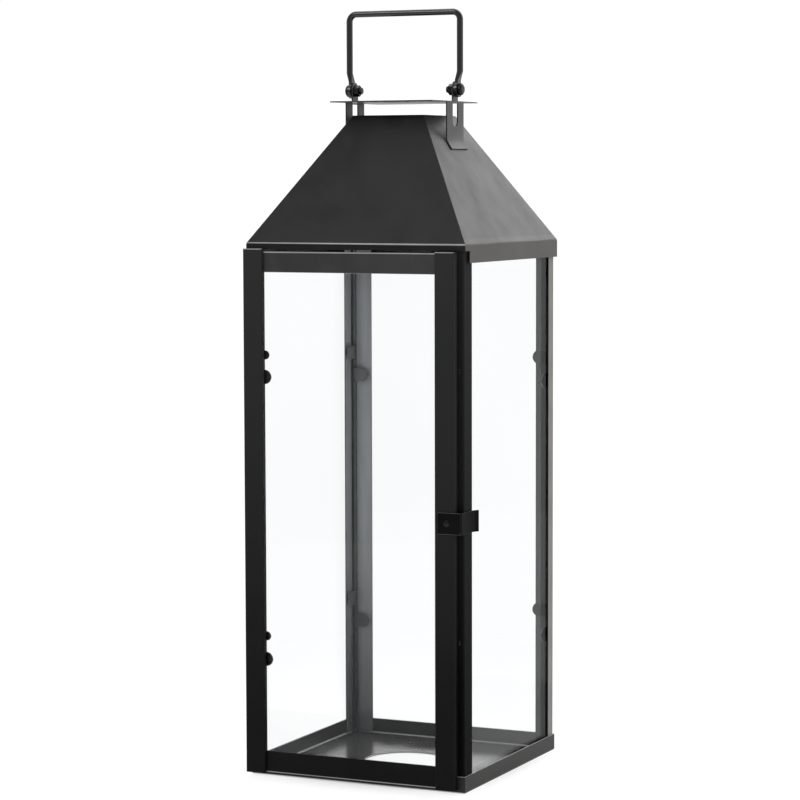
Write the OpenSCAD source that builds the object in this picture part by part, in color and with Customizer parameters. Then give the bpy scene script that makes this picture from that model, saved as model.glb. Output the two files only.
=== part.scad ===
// Hurricane candle lantern: a square sheet-steel lantern with a pyramid roof,
// glass on all four sides, a hinged front door with a spring latch, a raised
// smoke cap, a round hole in the tray floor and a swinging wire bail handle.
// Origin: centre of the resting plane. +Z up, the door faces -Y, millimetres.

/* [Body] */
// width of the square body measured over the corner posts
body_w = 180; // [150:1:230]
// thickness of the folded steel sheet
sheet = 1; // [0.8:0.1:1.2]
// height of the tray rim
tray_h = 13.2; // [10:0.1:16]
// width of one flange of a corner post
flange_w = 15; // [13:0.5:18]
// width of the post flange that stands behind a door stile
front_flange_w = 12; // [10:0.5:12]
// height of the fold line of the roof above the table
eaves_z = 414.4; // [380:0.2:460]
// radius of the round hole in the tray floor
hole_r = 33; // [20:1:40]

/* [Roof] */
// how far the roof stands out beyond the posts
roof_over = 2.1; // [1.6:0.1:2.4]
// height of the pyramid from the fold to the top opening
roof_rise = 98.2; // [85:0.2:110]
// width of the square opening at the top of the roof
roof_top_w = 60.4; // [50:0.2:66]
// drop of the skirt on the sides and the back
skirt_h = 13.7; // [10:0.1:16]
// drop of the short skirt above the door
front_skirt_h = 4.6; // [2.6:0.1:4.8]
// length of the notch in a side skirt beside the door
notch_l = 8.5; // [6:0.5:12]

/* [Smoke cap and bail] */
// width of the square smoke cap plate
cap_w = 87.2; // [84:0.2:90]
// gap between the roof opening and the cap plate
vent_gap = 10; // [8:0.5:14]
// height of the bail pivot above the top of the cap plate
pivot_rise = 8.9; // [8.2:0.1:12]
// diameter of the bail wire
bail_d = 5; // [4.6:0.1:5.4]
// height of the bail bar (its centre line) above the pivot
bail_rise = 60; // [54:0.5:66]

/* [Door] */
// width of a door stile on the hinge side
stile_w = 16.6; // [15:0.1:18]
// width of the door stile on the latch side
latch_stile_w = 16.3; // [15:0.1:18]
// height of the top door rail
rail_top_h = 15.9; // [13:0.1:19]
// height of the bottom door rail
rail_bottom_h = 17; // [14:0.1:20]
// height of the latch centre above the table
latch_z = 206; // [160:1:260]

/* [Glass] */
// thickness of the fixed panes
pane_t = 2; // [1.6:0.1:2.1]

/* [Hidden] */
$fn = 48;
e = 0.01;
s = sheet;
hb = body_w / 2;                     // outer face of the posts
tray_o = hb + 1;                     // outer face of the tray rim
roof_o = hb + roof_over;             // outer face of the roof skirt
top_z = eaves_z + roof_rise;         // roof opening
top_o = roof_top_w / 2;
run = roof_o - top_o;
slope = atan(roof_rise / run);       // pitch of the roof
t_hor = s / sin(slope);              // sheet thickness measured level
post_top = eaves_z + (roof_over) * tan(slope) - s / cos(slope) - 0.05;
cap_z = top_z + vent_gap;            // underside of the cap plate
cap_o = cap_w / 2;
piv_z = cap_z + s + pivot_rise;
leg_x = cap_o + 3.9;                 // centre line of a bail leg
pane_in = hb - s - 0.2;              // outer face of a fixed pane
pane_half = hb - 4.5;                // half the width of a fixed pane
fr = 1.2;                            // outside radius of the sheet folds
ear_t = 0.8;
ear_h = 11.4;
ear_l = 15.5;                        // reach of the ears at the back
ear_front = 10;                      // reach of the ears on the front posts
ear_up = [320, 115];                 // upper ear of each pair
ear_lo = [301.5, 96];                // lower ear of each pair
// door planes
rail_y = -(hb + 4.5);                // front of the rails
stile_y = -(hb + 7.5);               // front of the stiles
door_x0 = -(hb + 2.5);
door_x1 = hb - 4.8;
open_x0 = door_x0 + stile_w;
open_x1 = door_x1 - latch_stile_w;
door_z0 = 3.2;
door_z1 = eaves_z - 6.2;
glass_y = rail_y + s + 0.15;         // front of the door pane
glass_t = 1.8;
// hinge axis
hx = -(hb + 1.6);
hy = -(hb + 2.6);
pin_r = 0.9;
hinge_c = [343, 70.5];               // centres of the two hinges
hinge_l = 26;
kn = 5;                              // length of a frame knuckle
// brackets
strap_w = 32;
slot_w = 10;
// latch
lat_x0 = open_x1 + 2.8;
lp_t = 0.8;
lp_h = 16.3;
arm_x = hb + 0.5;                    // inner face of the latch arm

black = [0.09, 0.09, 0.09];
steel = [0.3, 0.3, 0.31];
clear = [0.8, 0.88, 0.9, 0.35];

// box from one corner to the other
module span(a, b) { translate(a) cube([b[0] - a[0], b[1] - a[1], b[2] - a[2]]); }

// square frustum standing on z, from half width a to half width b
module frustum(a, b, z0, z1) {
    translate([0, 0, z0]) rotate([0, 0, 45])
        cylinder(h = z1 - z0, r1 = a * sqrt(2), r2 = b * sqrt(2), $fn = 4);
}

// points of a round fold, centre c, from angle a0 to a1
function fold(c, r, a0, a1) = [for (i = [0:3]) let (a = a0 + (a1 - a0) * i / 3)
    [c[0] + r * cos(a), c[1] + r * sin(a)]];

// profile drawn in the YZ plane, run along X from x0 to x1
module along_x(x0, x1) translate([x0, 0, 0]) rotate([90, 0, 90]) linear_extrude(x1 - x0) children();

// shallow pan with an upright rim and a round hole in the middle of the floor
tc = 0.8;                            // slanted strip where the floor turns up
module base_tray() color(black) difference() {
    union() {
        frustum(tray_o - tc, tray_o, 0, tc);
        span([-tray_o, -tray_o, tc], [tray_o, tray_o, tray_h]);
    }
    frustum(tray_o - s - tc, tray_o - s, s, s + tc);
    span([-tray_o + s, -tray_o + s, s + tc], [tray_o - s, tray_o - s, tray_h + 1]);
    translate([0, 0, -1]) cylinder(h = s + 2, r = hole_r, $fn = 96);
}

// half-round ear of a post, root at the origin, reaching out along +X, in the XZ plane
module ear(l) {
    span([-0.2, 0, -ear_h / 2], [l - ear_h / 2, ear_t, ear_h / 2]);
    translate([l - ear_h / 2, ear_t, 0]) rotate([90, 0, 0]) cylinder(h = ear_t, r = ear_h / 2);
}

// corner post in the back left corner: bw is its flange along X, sw its flange along Y,
// side its ears behind the side pane, back its ears in front of the back pane
module post(bw, sw, side, back, l) {
    z0 = s + tc;
    translate([0, 0, z0]) linear_extrude(post_top - z0) polygon(concat(
        [[-hb + s, hb - sw], [-hb, hb - sw]],
        fold([-hb + fr, hb - fr], fr, 180, 90),
        [[-hb + bw, hb], [-hb + bw, hb - s], [-hb + s, hb - s]]));
    for (z = side) translate([-pane_in + pane_t + 0.2, hb - s, z]) rotate([0, 0, -90]) ear(l);
    for (z = back) translate([-hb + s, pane_in - pane_t - 0.2 - ear_t, z]) ear(l);
}
module post_back_left() color(black) post(flange_w + 3, flange_w, ear_up, ear_lo, ear_l);
module post_back_right() color(black) mirror([1, 0, 0])
    post(flange_w, flange_w - 4, ear_lo, ear_up, ear_l);
module post_front_left() color(black) mirror([0, 1, 0])
    post(front_flange_w, flange_w, ear_lo, [], ear_front);
module post_front_right() color(black) mirror([1, 0, 0]) mirror([0, 1, 0])
    post(front_flange_w, flange_w, ear_up, [], ear_front);

module side_pane() {
    span([-pane_in, -pane_half, s + 0.2], [-pane_in + pane_t, pane_half, eaves_z - 3.4]);
}
module glass_left() color(clear) side_pane();
module glass_right() color(clear) mirror([1, 0, 0]) side_pane();
module glass_back() color(clear) rotate([0, 0, -90]) side_pane();

// folded pyramid with an open top; the skirt is cut short above the door
ec = 0.8;                            // slanted strip along the fold of the roof
module roof_shell() color(black) difference() {
    union() {
        span([-roof_o, -roof_o, eaves_z - skirt_h], [roof_o, roof_o, eaves_z - ec]);
        frustum(roof_o, roof_o - ec * cos(slope), eaves_z - ec, eaves_z + ec * sin(slope));
        frustum(roof_o - ec * cos(slope) + e / tan(slope), top_o, eaves_z + ec * sin(slope) - e, top_z);
    }
    span([-roof_o + s, -roof_o + s, eaves_z - skirt_h - 1], [roof_o - s, roof_o - s, eaves_z]);
    frustum(roof_o - t_hor, top_o - t_hor, eaves_z - e, top_z + e);
    span([-roof_o - 1, -roof_o - 1, eaves_z - skirt_h - 1], [roof_o + 1, -roof_o + notch_l, eaves_z - front_skirt_h]);
}

// flat square plate above the chimney opening
module smoke_cap() color(black) difference() {
    span([-cap_o, -cap_o, cap_z], [cap_o, cap_o, cap_z + s]);
    // notches that the brackets stand in
    for (m = [0, 1]) mirror([m, 0, 0])
        span([cap_o - s - 0.03, -strap_w / 2 - 0.03, cap_z - 1], [cap_o + 1, strap_w / 2 + 0.03, cap_z + s + 1]);
}

// strap from the roof slope up to the plate, with a slot, a foot on the slope
// and a rounded lug for the bail pivot on top
module handle_bracket() {
    foot_z = top_z - (cap_o - s - top_o) * tan(slope);   // slope under the inner face
    difference() {
        span([cap_o - s, -strap_w / 2, foot_z - 1.6], [cap_o, strap_w / 2, cap_z + s]);
        // slot, round at its lower end
        span([cap_o - s - 1, -slot_w / 2, cap_z - 14], [cap_o + 1, slot_w / 2, cap_z - 0.8]);
        translate([cap_o - s - 1, 0, cap_z - 14]) rotate([0, 90, 0]) cylinder(h = s + 2, r = slot_w / 2);
        // keep the strap off the inside of the slope
        frustum(roof_o, top_o, eaves_z, top_z);
    }
    // foot lying on the slope
    translate([cap_o - s, 0, foot_z]) rotate([0, slope, 0])
        span([0, -strap_w / 2, 0], [8.2, strap_w / 2, s]);
    // lug above the plate
    difference() {
        union() {
            span([cap_o - s, -slot_w / 2, cap_z + s - e], [cap_o, slot_w / 2, piv_z + 1.5]);
            translate([cap_o - s, 0, piv_z + 1.5]) rotate([0, 90, 0]) cylinder(h = s, r = slot_w / 2);
        }
        translate([cap_o - s - 1, 0, piv_z]) rotate([0, 90, 0]) cylinder(h = s + 2, r = 2.52);
    }
}
module handle_bracket_right() color(black) handle_bracket();
module handle_bracket_left() color(black) mirror([1, 0, 0]) handle_bracket();

// pivot bolt: pan head outside the bail eye, shank through the lug
module pivot_bolt() translate([0, 0, piv_z]) rotate([0, 90, 0]) {
    translate([0, 0, cap_o - 7]) cylinder(h = 11, r = 2.5);
    translate([0, 0, cap_o + 3.9]) cylinder(h = 1.6, r = 4.6);
    translate([0, 0, cap_o + 5.5 - e]) cylinder(h = 1.1 + e, r1 = 4.6, r2 = 3.2);
}
module pivot_bolt_right() color(steel) pivot_bolt();
module pivot_bolt_left() color(steel) mirror([1, 0, 0]) pivot_bolt();

module pivot_nut() translate([cap_o - s - 4, 0, piv_z]) rotate([0, 90, 0]) difference() {
    cylinder(h = 3.98, r = 8 / sqrt(3), $fn = 6);
    translate([0, 0, -1]) cylinder(h = 6, r = 2.52);
}
module pivot_nut_right() color(steel) pivot_nut();
module pivot_nut_left() color(steel) mirror([1, 0, 0]) pivot_nut();

// wire bail with flattened eyes
bend_r = 6;
eye_x = cap_o + 0.8;
eye_t = 2.6;
module bail_side() {
    r = bail_d / 2;
    // leg
    translate([leg_x, 0, piv_z + 14]) cylinder(h = bail_rise - 14 - bend_r, r = r);
    // bend into the top bar
    translate([leg_x - bend_r, 0, piv_z + bail_rise - bend_r]) rotate([90, 0, 0])
        rotate_extrude(angle = 90) translate([bend_r, 0]) circle(r = r);
    // flattened end
    hull() {
        translate([leg_x, 0, piv_z + 13.9]) cylinder(h = 0.2, r = r, $fn = 32);
        span([eye_x, -3, piv_z + 7], [eye_x + eye_t, 3, piv_z + 7.4]);
    }
    difference() {
        union() {
            translate([eye_x, 0, piv_z]) rotate([0, 90, 0]) cylinder(h = eye_t, r = 6);
            span([eye_x, -3, piv_z], [eye_x + eye_t, 3, piv_z + 7.4]);
        }
        translate([eye_x - 1, 0, piv_z]) rotate([0, 90, 0]) cylinder(h = eye_t + 2, r = 2.57);
    }
}
module bail_handle() color(black) {
    bail_side();
    mirror([1, 0, 0]) bail_side();
    translate([-leg_x + bend_r - e, 0, piv_z + bail_rise]) rotate([0, 90, 0])
        cylinder(h = 2 * (leg_x - bend_r) + 2 * e, r = bail_d / 2);
}

// half-round ear behind the door pane, with the leg that ties it to the stile web
module door_ear(x, z, l, h) {
    y1 = glass_y + glass_t + 0.15;
    span([x - ear_t, stile_y + s - 0.2, z - h / 2], [x, y1 + ear_t, z + h / 2]);
    span([x - ear_t, y1, z - h / 2], [x + l - h / 2, y1 + ear_t, z + h / 2]);
    translate([x + l - h / 2, y1 + ear_t, z]) rotate([90, 0, 0]) cylinder(h = ear_t, r = h / 2);
}
door_ears = [311.4, 91.6];
door_ears_small = [328.4, 109.7];
module door_ears(x, l) {
    for (z = door_ears) door_ear(x, z, l, 11);
    for (z = door_ears_small) door_ear(x, z, l - 1.6, 7);
}
// wedge that takes the edge off the top of a stile
module stile_chamfer(z1) along_x(-hb - 10, hb + 10)
    polygon([[stile_y - 1, z1 - 1.7], [stile_y + 1.7, z1 + 1], [stile_y - 1, z1 + 1]]);
glass_x0 = open_x0 - 4.8;
glass_x1 = open_x1 + 4.8;
module door_stile_hinge() color(black) {
    z0 = door_z0 - 0.6;
    z1 = door_z1 + 2.2;
    difference() {
        translate([0, 0, z0]) linear_extrude(z1 - z0) polygon(concat(
            [[door_x0 + s, stile_y + 2.2], [door_x0, stile_y + 2.2]],
            fold([door_x0 + fr, stile_y + fr], fr, 180, 270),
            fold([open_x0 - fr, stile_y + fr], fr, 270, 360),
            [[open_x0, rail_y], [open_x0 - s, rail_y], [open_x0 - s, stile_y + s], [door_x0 + s, stile_y + s]]));
        stile_chamfer(z1);
        // room for the hinge leaves
        for (z = hinge_c) span([door_x0 - 1, stile_y + s, z - hinge_l / 2 + kn - 0.6],
            [door_x0 + s + 0.1, stile_y + 3, z + hinge_l / 2 - kn + 0.6]);
    }
    door_ears(glass_x0 - 0.3, 9.4);
}
module door_stile_latch() color(black) {
    z0 = door_z0 - 0.6;
    z1 = door_z1 + 0.9;
    difference() {
        translate([0, 0, z0]) linear_extrude(z1 - z0) polygon(concat(
            [[open_x1 + s, rail_y], [open_x1, rail_y]],
            fold([open_x1 + fr, stile_y + fr], fr, 180, 270),
            fold([door_x1 - fr, stile_y + fr], fr, 270, 360),
            [[door_x1, -(hb + 1.4)], [door_x1 - s, -(hb + 1.4)], [door_x1 - s, stile_y + s], [open_x1 + s, stile_y + s]]));
        stile_chamfer(z1);
        translate([lat_x0 + 7.4, stile_y + 2, latch_z]) rotate([90, 0, 0]) cylinder(h = 4, r = 1.6);
    }
    translate([glass_x1 + 0.3, 0, 0]) mirror([1, 0, 0]) door_ears(0, 6.4);
}
// folded strip, rounded at the fold, drawn for the top rail
module rail(z0, z1) along_x(open_x0 - 5, open_x1 + 5) polygon(concat(
    [[rail_y + s, z0], [rail_y, z0]],
    fold([rail_y + fr, z1 - fr], fr, 180, 90),
    [[rail_y + 3, z1], [rail_y + 3, z1 - s], [rail_y + s, z1 - s]]));
module door_rail_top() color(black) rail(door_z1 - rail_top_h, door_z1);
module door_rail_bottom() color(black) translate([0, 0, 2 * door_z0 + rail_bottom_h])
    mirror([0, 0, 1]) rail(door_z0, door_z0 + rail_bottom_h);
module door_glass() color(clear)
    span([glass_x0, glass_y, door_z0 + s + 0.3], [glass_x1, glass_y + glass_t, door_z1 - s - 0.4]);

// latch: plate riveted to the stile, springy arm along the side of the post
module latch_plate() color(black) difference() {
    span([lat_x0, stile_y - lp_t, latch_z - lp_h / 2], [arm_x - 0.4, stile_y, latch_z + lp_h / 2]);
    translate([lat_x0 + 7.4, stile_y + 1, latch_z]) rotate([90, 0, 0]) cylinder(h = 3, r = 1.6);
}
module latch_arm() color(black) {
    z0 = latch_z - lp_h / 2;
    r = 1.5;
    yc = stile_y - lp_t + r;
    translate([0, 0, z0]) linear_extrude(lp_h) polygon(concat(
        fold([arm_x + lp_t - r, yc], r, -acos((r - lp_t) / r), 0),
        [[arm_x + lp_t, -hb + 14.6], [arm_x + 3.2, -hb + 19.5],
        [arm_x + 2.5, -hb + 19.9], [arm_x, -hb + 15]]));
}
module latch_rivet() color(steel) translate([lat_x0 + 7.4, stile_y - lp_t, latch_z]) rotate([90, 0, 0]) {
    cylinder(h = 0.5, r1 = 2.6, r2 = 2.2);
    translate([0, 0, 0.5 - e]) cylinder(h = 0.3, r1 = 2.2, r2 = 1.2);
    translate([0, 0, -lp_t - s - 0.5]) cylinder(h = lp_t + s + 0.6, r = 1.55);
    translate([0, 0, -lp_t - s - 0.9]) cylinder(h = 0.88, r = 2.3);
}

// frame half of a hinge: leaf on the post and two knuckles
module frame_hinge(zc) {
    difference() {
        union() {
            for (z = [zc - hinge_l / 2, zc + hinge_l / 2 - kn])
                translate([hx, hy, z]) cylinder(h = kn, r = 2.1);
            for (z = [zc - hinge_l / 2, zc + hinge_l / 2 - kn])
                span([hx, -hb - 1.05, z], [hx + 3, -hb, z + kn]);
            span([-hb + 0.4, -hb - 0.9, zc - hinge_l / 2], [-hb + 7.6, -hb, zc + hinge_l / 2]);
        }
        translate([hx, hy, zc - hinge_l / 2 - 1]) cylinder(h = hinge_l + 2, r = pin_r + 0.02);
    }
}
// door half of a hinge: middle knuckle and a leaf inside the stile
module door_hinge(zc) {
    l = hinge_l - 2 * kn - 0.8;
    difference() {
        union() {
            translate([hx, hy, zc - l / 2]) cylinder(h = l, r = 1.68);
            span([hx - 0.5, stile_y + s, zc - l / 2], [hx + 0.5, hy - 1.2, zc + l / 2]);
            span([hx - 0.5, stile_y + s, zc - l / 2], [hx + 9, stile_y + s + 0.8, zc + l / 2]);
        }
        translate([hx, hy, zc - l / 2 - 1]) cylinder(h = l + 2, r = pin_r + 0.06);
    }
}
module hinge_pin(zc) {
    translate([hx, hy, zc - hinge_l / 2 - 0.5]) cylinder(h = hinge_l + 1, r = pin_r);
    translate([hx, hy, zc + hinge_l / 2 + e]) cylinder(h = 0.8, r = 1.5);
}
module frame_hinge_top() color(black) frame_hinge(hinge_c[0]);
module frame_hinge_bottom() color(black) frame_hinge(hinge_c[1]);
module door_hinge_top() color(black) door_hinge(hinge_c[0]);
module door_hinge_bottom() color(black) door_hinge(hinge_c[1]);
module hinge_pin_top() color(steel) hinge_pin(hinge_c[0]);
module hinge_pin_bottom() color(steel) hinge_pin(hinge_c[1]);

base_tray();
post_front_left();
post_front_right();
post_back_left();
post_back_right();
glass_left();
glass_right();
glass_back();
roof_shell();
smoke_cap();
handle_bracket_left();
handle_bracket_right();
pivot_bolt_left();
pivot_bolt_right();
pivot_nut_left();
pivot_nut_right();
bail_handle();
door_stile_hinge();
door_stile_latch();
door_rail_top();
door_rail_bottom();
door_glass();
latch_plate();
latch_arm();
latch_rivet();
frame_hinge_top();
frame_hinge_bottom();
door_hinge_top();
door_hinge_bottom();
hinge_pin_top();
hinge_pin_bottom();
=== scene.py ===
import math

import bpy
from mathutils import Matrix, Vector

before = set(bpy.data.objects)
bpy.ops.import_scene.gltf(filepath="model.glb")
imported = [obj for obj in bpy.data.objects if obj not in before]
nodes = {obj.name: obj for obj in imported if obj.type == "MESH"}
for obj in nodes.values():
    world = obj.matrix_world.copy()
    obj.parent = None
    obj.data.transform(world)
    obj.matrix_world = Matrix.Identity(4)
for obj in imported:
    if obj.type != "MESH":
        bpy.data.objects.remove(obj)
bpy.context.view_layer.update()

scene = bpy.context.scene


# ------------------------------------------------------------------ node helpers
class Tree:
    """Small helper that adds nodes to a material and links them."""

    def __init__(self, name):
        self.mat = bpy.data.materials.new(name)
        self.mat.use_nodes = True
        self.t = self.mat.node_tree
        self.t.nodes.clear()
        self.out = self.t.nodes.new("ShaderNodeOutputMaterial")
        self.coord = self.t.nodes.new("ShaderNodeTexCoord").outputs["Object"]

    def link(self, a, b):
        self.t.links.new(a, b)

    def put(self, socket, value):
        if hasattr(value, "is_output"):
            self.link(value, socket)
        else:
            socket.default_value = value

    def mapping(self, scale=(1, 1, 1), rot=(0, 0, 0), loc=(0, 0, 0), source=None):
        n = self.t.nodes.new("ShaderNodeMapping")
        self.link(source or self.coord, n.inputs["Vector"])
        n.inputs["Scale"].default_value = scale
        n.inputs["Rotation"].default_value = rot
        n.inputs["Location"].default_value = loc
        return n.outputs["Vector"]

    def noise(self, scale, detail=3.0, rough=0.5, vector=None, distort=0.0):
        n = self.t.nodes.new("ShaderNodeTexNoise")
        self.link(vector or self.coord, n.inputs["Vector"])
        n.inputs["Scale"].default_value = scale
        n.inputs["Detail"].default_value = detail
        n.inputs["Roughness"].default_value = rough
        n.inputs["Distortion"].default_value = distort
        return n.outputs["Fac"]

    def voronoi(self, scale, vector=None, feature="F1"):
        n = self.t.nodes.new("ShaderNodeTexVoronoi")
        n.feature = feature
        self.link(vector or self.coord, n.inputs["Vector"])
        n.inputs["Scale"].default_value = scale
        return n.outputs["Distance"]

    def ramp(self, fac, lo, hi, a=0.0, b=1.0, smooth=True):
        n = self.t.nodes.new("ShaderNodeMapRange")
        n.interpolation_type = "SMOOTHSTEP" if smooth else "LINEAR"
        self.link(fac, n.inputs["Value"])
        n.inputs["From Min"].default_value = lo
        n.inputs["From Max"].default_value = hi
        n.inputs["To Min"].default_value = a
        n.inputs["To Max"].default_value = b
        return n.outputs["Result"]

    def math(self, op, a, b=0.0, c=0.0, clamp=False):
        n = self.t.nodes.new("ShaderNodeMath")
        n.operation = op
        n.use_clamp = clamp
        self.put(n.inputs[0], a)
        self.put(n.inputs[1], b)
        if op in ("MULTIPLY_ADD", "WRAP", "COMPARE"):
            self.put(n.inputs[2], c)
        return n.outputs[0]

    def mix(self, fac, a, b):
        n = self.t.nodes.new("ShaderNodeMix")
        n.data_type = "RGBA"
        self.put(n.inputs[0], fac)
        self.put(n.inputs[6], a if hasattr(a, "is_output") else (*a, 1))
        self.put(n.inputs[7], b if hasattr(b, "is_output") else (*b, 1))
        return n.outputs[2]

    def bump(self, height, distance, strength=1.0, normal=None):
        n = self.t.nodes.new("ShaderNodeBump")
        self.link(height, n.inputs["Height"])
        n.inputs["Distance"].default_value = distance
        n.inputs["Strength"].default_value = strength
        if normal is not None:
            self.link(normal, n.inputs["Normal"])
        return n.outputs["Normal"]

    def edge(self, radius, flat, sharp):
        """1 on edges that stand out, 0 on flat faces."""
        b = self.t.nodes.new("ShaderNodeBevel")
        b.samples = 4
        b.inputs["Radius"].default_value = radius
        g = self.t.nodes.new("ShaderNodeNewGeometry")
        d = self.t.nodes.new("ShaderNodeVectorMath")
        d.operation = "DOT_PRODUCT"
        self.link(b.outputs["Normal"], d.inputs[0])
        self.link(g.outputs["True Normal"], d.inputs[1])
        return self.ramp(d.outputs["Value"], sharp, flat, 1.0, 0.0), b.outputs["Normal"]

    def up(self):
        g = self.t.nodes.new("ShaderNodeNewGeometry")
        s = self.t.nodes.new("ShaderNodeSeparateXYZ")
        self.link(g.outputs["Normal"], s.inputs[0])
        return s.outputs["Z"]

    def axis(self, i):
        s = self.t.nodes.new("ShaderNodeSeparateXYZ")
        self.link(self.coord, s.inputs[0])
        return s.outputs[i]

    def principled(self, **k):
        p = self.t.nodes.new("ShaderNodeBsdfPrincipled")
        for name, value in k.items():
            self.put(p.inputs[name.replace("_", " ")], value)
        self.link(p.outputs["BSDF"], self.out.inputs["Surface"])
        return p


def powder_coat(name, base=(0.010, 0.010, 0.0105), tone=(0.015, 0.015, 0.0148), rough=(0.38, 0.46),
                specular=0.16, edge_wear_and_highlight_col=(0.045, 0.045, 0.047), fold_highlight_col=(0.20, 0.20, 0.20), fold=(0.14, 0.30, 0.99, 0.93),
                edge_r=0.0011, grain=620.0, peel_d=0.000012, wave=0.00030, dust=0.25, plus_x_painted_tone=None, painted_top_light=None,
                painted_inner_reflection=None, seed=0.0):
    """Satin black powder coat on sheet steel: fine orange peel, slow waviness of the
    sheet, handling marks in the gloss, light dust, painted highlights on the folds and edges (the edges partly
    rubbed), and where asked painted light towards the top, painted light and shade on +X outer faces and a painted
    reflection on faces inside."""
    m = Tree(name)
    v = m.mapping(loc=(seed, seed * 0.37, -seed * 0.61))
    cloud = m.noise(9.0, 4.0, 0.6, v, 0.4)
    patch = m.noise(38.0, 3.0, 0.55, v)
    peel = m.noise(grain, 2.0, 0.5, v)
    fine = m.noise(grain * 2.7, 1.0, 0.5, v)
    streak = m.noise(60.0, 3.0, 0.6, m.mapping((1.0, 1.0, 0.07), loc=(seed, 0, 0)))
    edge, soft = m.edge(edge_r, 0.985, 0.75)
    rub = m.ramp(m.noise(170.0, 4.0, 0.7, v), 0.50, 0.68)
    up = m.up()
    lint = m.math("MULTIPLY", m.ramp(up, 0.15, 0.95), m.ramp(cloud, 0.42, 0.66))
    # painted highlight: folds that slant up or down get a lighter colour, as if they caught the light
    slant = m.math("ABSOLUTE", up)
    fold_highlight = m.math("MULTIPLY", m.ramp(slant, fold[0], fold[1]), m.ramp(slant, fold[2], fold[3]))
    fold_highlight = m.math("MULTIPLY", fold_highlight, m.ramp(patch, 0.30, 0.70, 0.75, 1.0))
    col = m.mix(m.ramp(cloud, 0.3, 0.7), base, tone)
    col = m.mix(m.math("MULTIPLY", m.ramp(patch, 0.45, 0.75), 0.25), col, tuple(c * 1.5 for c in tone))
    if painted_top_light is not None:                      # painted light: the coat is greyer towards the top of the lantern, where more light falls
        col = m.mix(m.math("MULTIPLY", m.ramp(m.axis(2), painted_top_light[0], painted_top_light[1], smooth=False),
                           m.ramp(cloud, 0.3, 0.7, 0.88, 1.0)), col, painted_top_light[2])
    col = m.mix(m.math("MULTIPLY", lint, dust * 0.25), col, (0.10, 0.098, 0.093))
    # painted highlight and wear: the edges are made lighter all along, more where the coat is rubbed
    worn = m.math("MULTIPLY", edge, m.math("MULTIPLY_ADD", rub, 0.6, 0.4), clamp=True)
    col = m.mix(worn, col, edge_wear_and_highlight_col)
    col = m.mix(fold_highlight, col, fold_highlight_col)
    if plus_x_painted_tone is not None:                      # painted light and shade: outer faces on the +X side get their own colour, lighter where light falls on them, darker on the tray
        s = m.t.nodes.new("ShaderNodeSeparateXYZ")
        m.link(m.t.nodes.new("ShaderNodeTexCoord").outputs["Normal"], s.inputs[0])
        out = m.math("MULTIPLY", m.ramp(s.outputs[0], 0.6, 0.9), m.ramp(patch, 0.25, 0.75, 0.8, 1.0))
        out = m.math("MULTIPLY", out, m.ramp(m.axis(0), 0.0888, 0.0902))
        col = m.mix(out, col, plus_x_painted_tone)
    if painted_inner_reflection is not None:                     # painted reflection: faces inside that look +X and -Y are made pale grey, weaker low down
        s = m.t.nodes.new("ShaderNodeSeparateXYZ")
        m.link(m.t.nodes.new("ShaderNodeTexCoord").outputs["Normal"], s.inputs[0])
        # the ears stand inside the panes and get less of the painted reflection, so they stay darker than the flanges
        side = m.math("MULTIPLY", m.ramp(s.outputs[0], 0.6, 0.9), m.ramp(m.axis(0), -0.0888, -0.0880, 1.0, 0.30))
        rear = m.math("MULTIPLY", m.ramp(s.outputs[1], -0.9, -0.6, 1.0, 0.0), m.ramp(m.axis(1), 0.0880, 0.0888, 0.30, 1.0))
        into = m.math("MAXIMUM", side, rear)
        into = m.math("MULTIPLY", into, m.ramp(m.axis(2), 0.02, 0.22, 0.36, 1.0))
        into = m.math("MULTIPLY", into, m.ramp(streak, 0.30, 0.70, 0.72, 1.0))
        col = m.mix(m.math("MULTIPLY", into, m.math("SUBTRACT", 1.0, worn)), col, painted_inner_reflection)
    r = m.ramp(cloud, 0.25, 0.75, rough[0], rough[1])
    r = m.math("ADD", r, m.ramp(streak, 0.35, 0.7, -0.02, 0.025))
    r = m.math("ADD", r, m.ramp(patch, 0.4, 0.7, -0.01, 0.02))
    r = m.math("ADD", r, m.math("MULTIPLY", lint, dust * 0.2))
    r = m.math("SUBTRACT", r, m.math("MULTIPLY", edge, 0.06), clamp=True)
    sheet = m.bump(m.noise(17.0, 1.5, 0.4, v), wave, 0.9, soft)
    n = m.bump(peel, peel_d, 0.5, sheet)
    n = m.bump(fine, peel_d * 0.3, 0.4, n)
    m.principled(Base_Color=col, Roughness=r, Specular_IOR_Level=specular, Normal=n, IOR=1.5)
    return m.mat


def blackened(name, base=(0.012, 0.012, 0.0125), tone=(0.028, 0.028, 0.027), rough=(0.28, 0.42), seed=0.0):
    """Black-oxide screws, nuts and pins: dark metal with bright rubbed edges."""
    m = Tree(name)
    v = m.mapping(loc=(seed, -seed, seed * 0.5))
    cloud = m.noise(160.0, 4.0, 0.65, v, 0.3)
    grit = m.noise(1500.0, 2.0, 0.6, v)
    edge, soft = m.edge(0.0005, 0.98, 0.7)
    worn = m.math("MULTIPLY", edge, m.ramp(m.noise(600.0, 3.0, 0.7, v), 0.35, 0.62), clamp=True)
    col = m.mix(m.ramp(cloud, 0.35, 0.7), base, tone)
    col = m.mix(m.math("MULTIPLY", worn, 0.5), col, (0.20, 0.197, 0.19))
    r = m.math("ADD", m.ramp(cloud, 0.3, 0.7, rough[0], rough[1]), m.ramp(grit, 0.3, 0.7, -0.04, 0.06), clamp=True)
    n = m.bump(grit, 0.00002, 0.7, soft)
    m.principled(Base_Color=col, Roughness=r, Metallic=0.85, Normal=n)
    return m.mat


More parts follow.
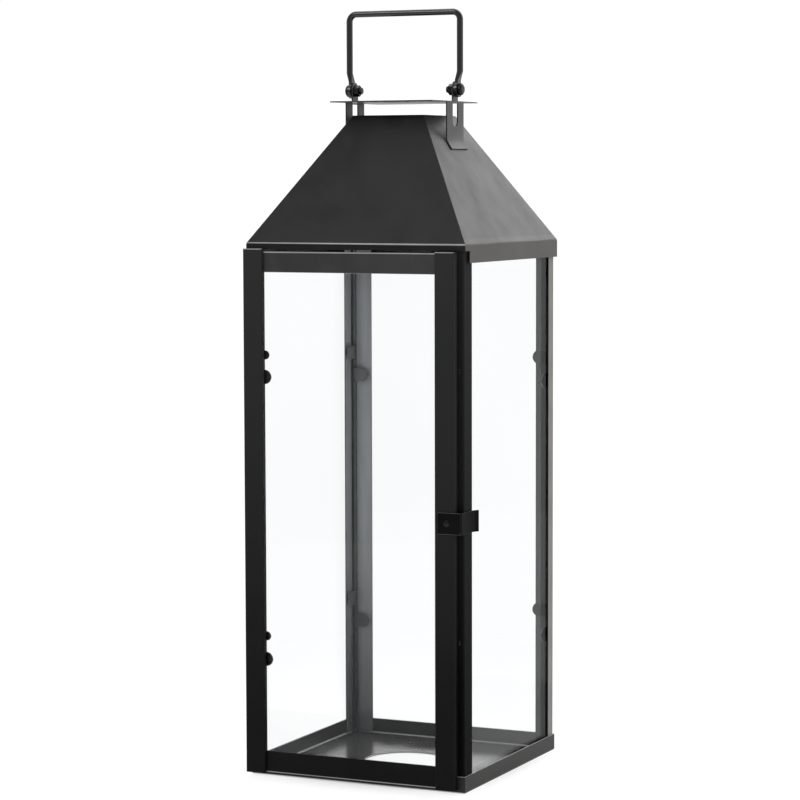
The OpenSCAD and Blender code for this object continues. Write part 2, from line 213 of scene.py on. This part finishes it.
def clear_glass(name, across, tint=(0.980, 0.9825, 0.9840), mirror=(0.012, 0.25), seed=0.0):
    """Thin float glass: nearly clear, mirrors more at a slant, wiping marks in the gloss
    and a faint haze; the cut edges are dark green. across is the axis through the pane
    (0 for X, 1 for Y)."""
    m = Tree(name)
    v = m.mapping(loc=(seed, seed * 1.3, seed * 0.2))
    wipe = m.noise(14.0, 4.0, 0.6, m.mapping((1.0, 1.0, 0.35), loc=(seed, 0, seed)), 0.8)
    cloud = m.noise(6.0, 2.0, 0.5, v)
    g = m.t.nodes.new("ShaderNodeTexCoord")
    s = m.t.nodes.new("ShaderNodeSeparateXYZ")
    m.link(g.outputs["Normal"], s.inputs[0])
    cut = m.ramp(m.math("ABSOLUTE", s.outputs[across]), 0.35, 0.80, 1.0, 0.0)
    n = m.bump(m.noise(11.0, 1.0, 0.4, v), 0.00006, 0.4)
    clear = m.t.nodes.new("ShaderNodeBsdfTransparent")
    m.link(m.mix(m.ramp(cloud, 0.3, 0.7), tint, tuple(c * 0.995 for c in tint)), clear.inputs["Color"])
    gloss = m.t.nodes.new("ShaderNodeBsdfAnisotropic")
    gloss.inputs["Color"].default_value = (0.96, 0.965, 0.97, 1)
    m.link(m.ramp(wipe, 0.52, 0.80, 0.002, 0.10), gloss.inputs["Roughness"])
    m.link(n, gloss.inputs["Normal"])
    lw = m.t.nodes.new("ShaderNodeLayerWeight")
    lw.inputs["Blend"].default_value = 0.5
    fac = m.math("MULTIPLY_ADD", m.math("POWER", lw.outputs["Facing"], 5.0), mirror[1], mirror[0])
    pane = m.t.nodes.new("ShaderNodeMixShader")
    m.link(fac, pane.inputs[0])
    m.link(clear.outputs[0], pane.inputs[1])
    m.link(gloss.outputs[0], pane.inputs[2])
    edge = m.principled(Base_Color=m.mix(cloud, (0.016, 0.038, 0.031), (0.026, 0.054, 0.046)),
                        Roughness=m.ramp(wipe, 0.3, 0.7, 0.20, 0.34), Specular_IOR_Level=0.5)
    both = m.t.nodes.new("ShaderNodeMixShader")
    m.link(cut, both.inputs[0])
    m.link(pane.outputs[0], both.inputs[1])
    m.link(edge.outputs["BSDF"], both.inputs[2])
    m.link(both.outputs[0], m.out.inputs["Surface"])
    return m.mat


# ------------------------------------------------------------------ materials
NO_FOLD_HIGHLIGHT = (1.5, 1.6, 1.9, 1.8)
# painted light: the roof's outer faces on the +X side are painted lighter
coat_roof = powder_coat("coat_roof", base=(0.0032, 0.0032, 0.0034), tone=(0.0058, 0.0058, 0.0056), rough=(0.27, 0.38),
                        specular=0.268, edge_wear_and_highlight_col=(0.10, 0.10, 0.10), fold_highlight_col=(0.44, 0.44, 0.44),
                        fold=(0.12, 0.22, 0.50, 0.40), plus_x_painted_tone=(0.036, 0.034, 0.030), seed=3.1)
# painted light: this coat turns greyer towards the top
coat_body = powder_coat("coat_body", base=(0.0025, 0.0025, 0.0027), tone=(0.0045, 0.0045, 0.0043), specular=0.01,
                        rough=(0.42, 0.50), edge_wear_and_highlight_col=(0.09, 0.09, 0.09), painted_top_light=(0.03, 0.40, (0.023, 0.023, 0.0232)),
                        seed=11.7)
# painted reflection: the back-left post gets a pale grey on its faces inside the lantern
coat_back_painted_reflection = powder_coat("coat_back_painted_reflection", base=(0.0110, 0.0112, 0.0115), tone=(0.0160, 0.0163, 0.0165), specular=0.05,
                        rough=(0.40, 0.48), edge_wear_and_highlight_col=(0.12, 0.12, 0.12), painted_inner_reflection=(0.435, 0.452, 0.468),
                        seed=17.3)
# painted reflection: the +X outer face of the back-right post is painted pale
coat_rear_painted_light = powder_coat("coat_rear_painted_light", base=(0.0035, 0.0037, 0.004), tone=(0.0060, 0.0062, 0.0064), specular=0.04,
                        rough=(0.36, 0.44), edge_wear_and_highlight_col=(0.05, 0.05, 0.05), plus_x_painted_tone=(0.25, 0.245, 0.235), seed=14.9)
# painted light: the door coat turns greyer towards the top
coat_door = powder_coat("coat_door", base=(0.0048, 0.0048, 0.0049), tone=(0.0066, 0.0066, 0.0065), specular=0.06,
                        fold_highlight_col=(0.34, 0.34, 0.34), painted_top_light=(0.05, 0.40, (0.030, 0.030, 0.0302)), seed=23.9)
# painted light: a lighter copy of the door coat for the top rail, which catches more light from above
coat_rail_painted_light = powder_coat("coat_rail_painted_light", base=(0.036, 0.036, 0.0365), tone=(0.048, 0.048, 0.0475), specular=0.12,
                        fold_highlight_col=(0.36, 0.36, 0.36), seed=27.1)
# painted shade: the tray's outer face on the +X side is painted darker
coat_tray = powder_coat("coat_tray", base=(0.0230, 0.0228, 0.0225), tone=(0.0300, 0.0297, 0.0290), seed=31.3,
                        rough=(0.16, 0.22), specular=0.085, plus_x_painted_tone=(0.0090, 0.0080, 0.0068), fold_highlight_col=(0.55, 0.55, 0.55), peel_d=0.0000009, wave=0.00009,
                        dust=0.1)
coat_wire = powder_coat("coat_wire", base=(0.0035, 0.0035, 0.0036), tone=(0.006, 0.006, 0.0059), seed=41.9,
                        rough=(0.15, 0.20), specular=0.60, edge_r=0.0004, edge_wear_and_highlight_col=(0.01, 0.01, 0.01),
                        wave=0.00008, fold=NO_FOLD_HIGHLIGHT)
coat_latch = powder_coat("coat_latch", base=(0.0052, 0.0052, 0.0054), tone=(0.0080, 0.0080, 0.0078), seed=51.1,
                         rough=(0.30, 0.40), specular=0.015, edge_r=0.0006, edge_wear_and_highlight_col=(0.10, 0.10, 0.10), wave=0.0001)
coat_bracket = powder_coat("coat_bracket", base=(0.018, 0.018, 0.0185), tone=(0.026, 0.026, 0.0255), seed=61.3,
                           rough=(0.27, 0.36), specular=0.33, edge_r=0.0007, wave=0.0001, fold=NO_FOLD_HIGHLIGHT)
bolt_black = blackened("bolt_black", seed=2.0)
pin_black = blackened("pin_black", seed=7.0, rough=(0.26, 0.40))
glass_side = clear_glass("glass_side", 0, seed=5.0)
glass_slant = clear_glass("glass_slant", 0, mirror=(0.016, 0.36), seed=3.0)
glass_rear = clear_glass("glass_rear", 1, seed=6.5)
glass_door = clear_glass("glass_door", 1, seed=9.0)

looks = {
    "base_tray": coat_tray, "roof_shell": coat_roof, "smoke_cap": coat_bracket,
    "handle_bracket_left": coat_bracket, "handle_bracket_right": coat_bracket,
    "bail_handle": coat_wire, "latch_plate": coat_latch, "latch_arm": coat_latch, "latch_rivet": bolt_black,
    "pivot_bolt_left": bolt_black, "pivot_bolt_right": bolt_black,
    "pivot_nut_left": bolt_black, "pivot_nut_right": bolt_black,
    "hinge_pin_top": pin_black, "hinge_pin_bottom": pin_black,
    "glass_left": glass_side, "glass_right": glass_slant, "glass_back": glass_rear, "door_glass": glass_door,
}
for name in ("post_front_left", "post_front_right", "post_back_left", "post_back_right",
             "frame_hinge_top", "frame_hinge_bottom"):
    looks[name] = coat_body
looks["post_back_right"] = coat_rear_painted_light
looks["post_back_left"] = coat_back_painted_reflection
for name in ("door_stile_hinge", "door_stile_latch", "door_rail_top", "door_rail_bottom",
             "door_hinge_top", "door_hinge_bottom"):
    looks[name] = coat_door
looks["door_rail_top"] = coat_rail_painted_light


# ------------------------------------------------------------------ edges of the sheet
def soften(ob, width, segments=2, angle=35.0):
    """Rounds the sharp edges of a CAD node by a small modifier."""
    w = ob.modifiers.new("weld", "WELD")
    w.merge_threshold = 1e-6
    b = ob.modifiers.new("edge", "BEVEL")
    b.width = width
    b.segments = segments
    b.limit_method = "ANGLE"
    b.angle_limit = math.radians(angle)
    b.use_clamp_overlap = True
    b.harden_normals = False
    b.miter_outer = "MITER_ARC"
    n = ob.modifiers.new("shade", "WEIGHTED_NORMAL")
    n.mode = "FACE_AREA"
    n.weight = 100
    n.keep_sharp = False
    return b


widths = {"base_tray": 0.00035, "roof_shell": 0.00035, "bail_handle": 0.0003, "smoke_cap": 0.00022,
          "handle_bracket_left": 0.00025, "handle_bracket_right": 0.00025,
          "pivot_bolt_left": 0.0002, "pivot_bolt_right": 0.0002, "pivot_nut_left": 0.0003, "pivot_nut_right": 0.0003,
          "latch_plate": 0.0002, "latch_arm": 0.0002, "latch_rivet": 0.00015,
          "glass_left": 0.0002, "glass_right": 0.0002, "glass_back": 0.0002, "door_glass": 0.0002}
for name, ob in nodes.items():
    ob.data.materials.clear()
    ob.data.materials.append(looks[name])
    soften(ob, widths.get(name, 0.0003))


# ------------------------------------------------------------------ floor
GLOW, FRONT = 1.07, 0.52          # light of the studio round the object, and how much less comes from the front wall


def make_floor():
    m = Tree("studio_floor")
    cloud = m.noise(1.3, 3.0, 0.5)
    fine = m.noise(260.0, 2.0, 0.5)
    n = m.bump(fine, 0.0001, 0.2)
    far = m.t.nodes.new("ShaderNodeVectorMath")
    far.operation = "LENGTH"
    m.link(m.coord, far.inputs[0])
    # pale paper: lit table with a light contact shadow
    paper = m.t.nodes.new("ShaderNodeBsdfPrincipled")
    m.link(m.mix(cloud, (0.90, 0.90, 0.90), (0.92, 0.92, 0.918)), paper.inputs["Base Color"])
    paper.inputs["Roughness"].default_value = 0.75
    paper.inputs["Specular IOR Level"].default_value = 0.1
    m.link(n, paper.inputs["Normal"])
    # further out it fades into the light of the studio round it
    away = far.outputs["Value"]
    glow = m.t.nodes.new("ShaderNodeEmission")
    glow.inputs["Strength"].default_value = GLOW
    lit = m.t.nodes.new("ShaderNodeMixShader")
    share = m.math("ADD", m.ramp(away, 0.05, 0.13, 0.26, 0.78), m.ramp(away, 0.14, 0.60, 0.0, 0.22))
    m.link(share, lit.inputs[0])
    m.link(paper.outputs[0], lit.inputs[1])
    m.link(glow.outputs[0], lit.inputs[2])
    m.link(lit.outputs[0], m.out.inputs["Surface"])
    mesh = bpy.data.meshes.new("floor")
    ring = [(1.5 * math.cos(a), 1.5 * math.sin(a), -0.0002) for a in [math.tau * i / 96 for i in range(96)]]
    mesh.from_pydata(ring, [], [tuple(range(96))])
    mesh.materials.append(m.mat)
    ob = bpy.data.objects.new("floor", mesh)
    scene.collection.objects.link(ob)


make_floor()


# ------------------------------------------------------------------ light
def make_world():
    w = bpy.data.worlds.new("studio")
    scene.world = w
    w.use_nodes = True
    t = w.node_tree
    t.nodes.clear()
    out = t.nodes.new("ShaderNodeOutputWorld")
    bg = t.nodes.new("ShaderNodeBackground")
    t.links.new(bg.outputs[0], out.inputs[0])
    tc = t.nodes.new("ShaderNodeTexCoord")
    sep = t.nodes.new("ShaderNodeSeparateXYZ")
    t.links.new(tc.outputs["Generated"], sep.inputs[0])

    def rng(src, lo, hi, a, b):
        n = t.nodes.new("ShaderNodeMapRange")
        n.interpolation_type = "SMOOTHSTEP"
        t.links.new(src, n.inputs["Value"])
        for k, v in (("From Min", lo), ("From Max", hi), ("To Min", a), ("To Max", b)):
            n.inputs[k].default_value = v
        return n.outputs["Result"]

    def op(kind, a, b):
        n = t.nodes.new("ShaderNodeMath")
        n.operation = kind
        for i, v in ((0, a), (1, b)):
            if hasattr(v, "is_output"):
                t.links.new(v, n.inputs[i])
            else:
                n.inputs[i].default_value = v
        return n.outputs[0]

    x, y, z = sep.outputs
    horizon = rng(z, 0.03, 0.20, 1.0, 0.0)          # white all round, and below
    back = op("MULTIPLY", rng(y, -0.25, 0.75, 0.0, 1.0), rng(z, 0.06, 0.22, 0.0, 1.0))
    sky = op("MULTIPLY_ADD", back, 1.0)
    n = sky.node
    n.inputs[1].default_value = 1.75
    n.inputs[2].default_value = 0.42
    front = rng(y, -0.60, -0.05, 1.0, 0.0)          # the camera side is dim
    band = op("MULTIPLY", horizon, op("SUBTRACT", GLOW, op("MULTIPLY", front, FRONT)))
    rest = op("MULTIPLY", op("SUBTRACT", 1.0, horizon), sky)
    t.links.new(op("ADD", band, rest), bg.inputs["Strength"])
    bg.inputs["Color"].default_value = (1.0, 1.0, 1.0, 1)


make_world()


def area(name, loc, target, size, power, color=(1, 1, 1)):
    d = bpy.data.lights.new(name, "AREA")
    d.shape = "RECTANGLE"
    d.size, d.size_y = size
    d.energy = power
    d.color = color
    o = bpy.data.objects.new(name, d)
    o.location = loc
    o.rotation_euler = (Vector(target) - Vector(loc)).to_track_quat("-Z", "Y").to_euler()
    scene.collection.objects.link(o)
    return o


area("top_soft", (-0.1, 0.8, 3.0), (0, 0, 0.2), (3.2, 3.2), 36.0)
area("front_soft", (-0.5, -1.0, 1.25), (0, 0, 0.42), (0.6, 0.6), 5.0)

# ------------------------------------------------------------------ camera
AZ, PITCH, ROLL = math.radians(24.927), math.radians(4.610), 0.00266
fwd = Vector((-math.sin(AZ) * math.cos(PITCH), math.cos(AZ) * math.cos(PITCH), -math.sin(PITCH)))
right = Vector((math.cos(AZ), math.sin(AZ), 0.0))
down = fwd.cross(right)
r2 = right * math.cos(ROLL) + down * math.sin(ROLL)
d2 = down * math.cos(ROLL) - right * math.sin(ROLL)
cam_data = bpy.data.cameras.new("camera")
cam_data.sensor_fit = "HORIZONTAL"
cam_data.sensor_width = 36.0
cam_data.lens = 126.1
cam_data.clip_start, cam_data.clip_end = 0.05, 60.0
cam = bpy.data.objects.new("camera", cam_data)
m = Matrix((r2, -d2, -fwd)).transposed().to_4x4()
m.translation = Vector((0.926102, -2.002403, 0.467128))
cam.matrix_world = m
scene.collection.objects.link(cam)
scene.camera = cam

scene.view_settings.view_transform = "Standard"
scene.view_settings.look = "None"
scene.view_settings.exposure = 0.0
scene.view_settings.gamma = 1.0
